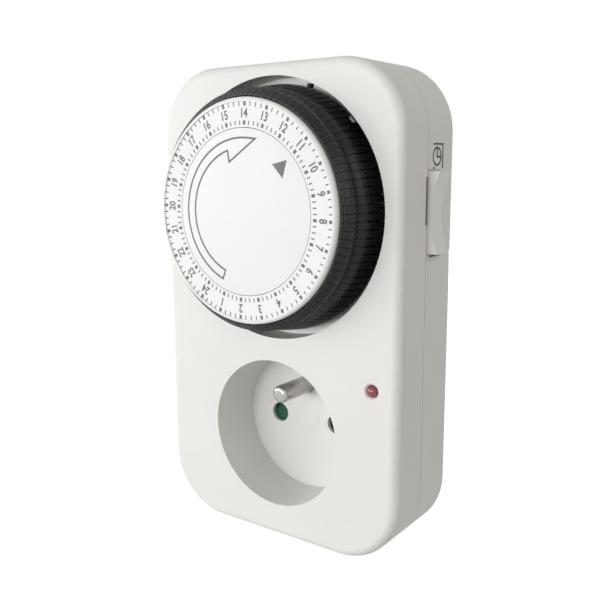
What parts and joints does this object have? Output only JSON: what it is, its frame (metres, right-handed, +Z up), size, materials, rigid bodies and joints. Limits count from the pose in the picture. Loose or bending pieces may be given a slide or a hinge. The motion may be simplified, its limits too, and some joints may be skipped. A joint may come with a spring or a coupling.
{
  "type": "programmable timer",
  "caption": "Plug-in 24-hour timer: a tappet dial driven by a geared motor works a trip lever and contact leaf; with a side rocker, a shuttered earthed outlet and a plug boss on the back.",
  "frame": {"origin": "middle between the two plug pins, on the back face of the plug boss", "axes": "+Y along the plug pins towards the wall, so the dial faces -Y; +Z up from the outlet to the dial; +X to the viewer's right, the rocker's side"},
  "size_m": [0.0771, 0.0726, 0.1236],
  "materials": {
    "shell_plastic": "satin",
    "dial_plastic": "gloss",
    "tappet_plastic": "satin",
    "gear_plastic": "satin",
    "steel": "satin",
    "nickel": "polished",
    "brass": "satin",
    "shutter_plastic": "satin",
    "lens_plastic": "gloss",
    "lamp_glass": "gloss",
    "wire_cover": "satin"
  },
  "bodies": {
    "housing": {"front_cover": "shell_plastic", "rear_cover": "shell_plastic", "plug_insert": "shell_plastic", "socket_plate": "shell_plastic", "housing_screws": "steel", "centre_disc": "dial_plastic", "wheel_axle": "steel", "motor_case": "steel", "motor_plate": "steel", "motor_screws": "steel", "lever_pin": "steel", "trip_spring": "steel", "rocker_pin": "steel", "shutter_spring": "steel", "earth_pin": "nickel", "earth_strap": "brass", "earth_sleeve": "brass", "live_pin": "nickel", "neutral_pin": "nickel", "live_contact": "brass", "neutral_contact": "brass", "live_feed_strip": "brass", "live_load_strip": "brass", "indicator_lens": "lens_plastic", "indicator_lamp": "lamp_glass", "wiring": "wire_cover"},
    "dial": {"tappet_drum": "tappet_plastic", "dial_ring": "dial_plastic", "dial_gear": "gear_plastic"},
    "reduction": {"reduction_gear": "gear_plastic"},
    "motor_shaft": {"motor_pinion": "brass"},
    "lever": {"trip_lever": "gear_plastic"},
    "leaf": {"contact_leaf": "brass"},
    "rocker": {"rocker": "shell_plastic"},
    "shutter": {"shutter": "shutter_plastic"},
    "tappets_01": {"tappets_01": "tappet_plastic"},
    "tappets_02": {"tappets_02": "tappet_plastic"},
    "tappets_03": {"tappets_03": "tappet_plastic"},
    "tappets_04": {"tappets_04": "tappet_plastic"},
    "tappets_05": {"tappets_05": "tappet_plastic"},
    "tappets_06": {"tappets_06": "tappet_plastic"},
    "tappets_07": {"tappets_07": "tappet_plastic"},
    "tappets_08": {"tappets_08": "tappet_plastic"},
    "tappets_09": {"tappets_09": "tappet_plastic"},
    "tappets_10": {"tappets_10": "tappet_plastic"},
    "tappets_11": {"tappets_11": "tappet_plastic"},
    "tappets_12": {"tappets_12": "tappet_plastic"},
    "tappets_13": {"tappets_13": "tappet_plastic"},
    "tappets_14": {"tappets_14": "tappet_plastic"},
    "tappets_15": {"tappets_15": "tappet_plastic"},
    "tappets_16": {"tappets_16": "tappet_plastic"},
    "tappets_17": {"tappets_17": "tappet_plastic"},
    "tappets_18": {"tappets_18": "tappet_plastic"},
    "tappets_19": {"tappets_19": "tappet_plastic"},
    "tappets_20": {"tappets_20": "tappet_plastic"},
    "tappets_21": {"tappets_21": "tappet_plastic"},
    "tappets_22": {"tappets_22": "tappet_plastic"},
    "tappets_23": {"tappets_23": "tappet_plastic"},
    "tappets_24": {"tappets_24": "tappet_plastic"}
  },
  "joints": [
    {"name": "dial_spin", "type": "hinge", "parent": "housing", "child": "dial", "pos_m": [0, -0.045, 0.0587], "axis": [0, 1, 0], "continuous": true},
    {"name": "reduction_spin", "type": "hinge", "parent": "housing", "child": "reduction", "pos_m": [-0.01691, -0.045, 0.05254], "axis": [0, 1, 0], "continuous": true},
    {"name": "motor_spin", "type": "hinge", "parent": "housing", "child": "motor_shaft", "pos_m": [-0.01006, -0.045, 0.06588], "axis": [0, 1, 0], "continuous": true},
    {"name": "lever_trip", "type": "hinge", "parent": "housing", "child": "lever", "pos_m": [0.033, -0.031, 0.075], "axis": [0, 1, 0], "range_deg": [0, 4], "stiffness_Nm_per_rad": 0.03, "springref_deg": -2.86},
    {"name": "leaf_bend", "type": "hinge", "parent": "housing", "child": "leaf", "pos_m": [0.02915, -0.029, 0.0435], "axis": [0, -1, 0], "range_deg": [0, 2.2]},
    {"name": "rocker_tilt", "type": "hinge", "parent": "housing", "child": "rocker", "pos_m": [0.033, -0.0264, 0.0588], "axis": [0, -1, 0], "range_deg": [0, 5]},
    {"name": "shutter_turn", "type": "hinge", "parent": "housing", "child": "shutter", "pos_m": [0, -0.0242, 0], "axis": [0, -1, 0], "range_deg": [0, 40], "stiffness_Nm_per_rad": 0.004, "springref_deg": -17.19},
    {"name": "push_01", "type": "slide", "parent": "dial", "child": "tappets_01", "axis": [0, 1, 0], "range_m": [0, 0.003]},
    {"name": "push_02", "type": "slide", "parent": "dial", "child": "tappets_02", "axis": [0, 1, 0], "range_m": [0, 0.003]},
    {"name": "push_03", "type": "slide", "parent": "dial", "child": "tappets_03", "axis": [0, 1, 0], "range_m": [0, 0.003]},
    {"name": "push_04", "type": "slide", "parent": "dial", "child": "tappets_04", "axis": [0, 1, 0], "range_m": [0, 0.003]},
    {"name": "push_05", "type": "slide", "parent": "dial", "child": "tappets_05", "axis": [0, 1, 0], "range_m": [0, 0.003]},
    {"name": "push_06", "type": "slide", "parent": "dial", "child": "tappets_06", "axis": [0, 1, 0], "range_m": [0, 0.003]},
    {"name": "push_07", "type": "slide", "parent": "dial", "child": "tappets_07", "axis": [0, 1, 0], "range_m": [0, 0.003]},
    {"name": "push_08", "type": "slide", "parent": "dial", "child": "tappets_08", "axis": [0, 1, 0], "range_m": [0, 0.003]},
    {"name": "push_09", "type": "slide", "parent": "dial", "child": "tappets_09", "axis": [0, 1, 0], "range_m": [0, 0.003]},
    {"name": "push_10", "type": "slide", "parent": "dial", "child": "tappets_10", "axis": [0, 1, 0], "range_m": [0, 0.003]},
    {"name": "push_11", "type": "slide", "parent": "dial", "child": "tappets_11", "axis": [0, 1, 0], "range_m": [0, 0.003]},
    {"name": "push_12", "type": "slide", "parent": "dial", "child": "tappets_12", "axis": [0, 1, 0], "range_m": [0, 0.003]},
    {"name": "push_13", "type": "slide", "parent": "dial", "child": "tappets_13", "axis": [0, 1, 0], "range_m": [0, 0.003]},
    {"name": "push_14", "type": "slide", "parent": "dial", "child": "tappets_14", "axis": [0, 1, 0], "range_m": [0, 0.003]},
    {"name": "push_15", "type": "slide", "parent": "dial", "child": "tappets_15", "axis": [0, 1, 0], "range_m": [0, 0.003]},
    {"name": "push_16", "type": "slide", "parent": "dial", "child": "tappets_16", "axis": [0, 1, 0], "range_m": [0, 0.003]},
    {"name": "push_17", "type": "slide", "parent": "dial", "child": "tappets_17", "axis": [0, 1, 0], "range_m": [0, 0.003]},
    {"name": "push_18", "type": "slide", "parent": "dial", "child": "tappets_18", "axis": [0, 1, 0], "range_m": [0, 0.003]},
    {"name": "push_19", "type": "slide", "parent": "dial", "child": "tappets_19", "axis": [0, 1, 0], "range_m": [0, 0.003]},
    {"name": "push_20", "type": "slide", "parent": "dial", "child": "tappets_20", "axis": [0, 1, 0], "range_m": [0, 0.003]},
    {"name": "push_21", "type": "slide", "parent": "dial", "child": "tappets_21", "axis": [0, 1, 0], "range_m": [0, 0.003]},
    {"name": "push_22", "type": "slide", "parent": "dial", "child": "tappets_22", "axis": [0, 1, 0], "range_m": [0, 0.003]},
    {"name": "push_23", "type": "slide", "parent": "dial", "child": "tappets_23", "axis": [0, 1, 0], "range_m": [0, 0.003]},
    {"name": "push_24", "type": "slide", "parent": "dial", "child": "tappets_24", "axis": [0, 1, 0], "range_m": [0, 0.003]}
  ],
  "couplings": [
    {"joint": "reduction_spin", "follows": "dial_spin", "ratio": -5},
    {"joint": "motor_spin", "follows": "dial_spin", "ratio": 20},
    {"joint": "leaf_bend", "follows": "lever_trip", "ratio": 0.374}
  ]
}
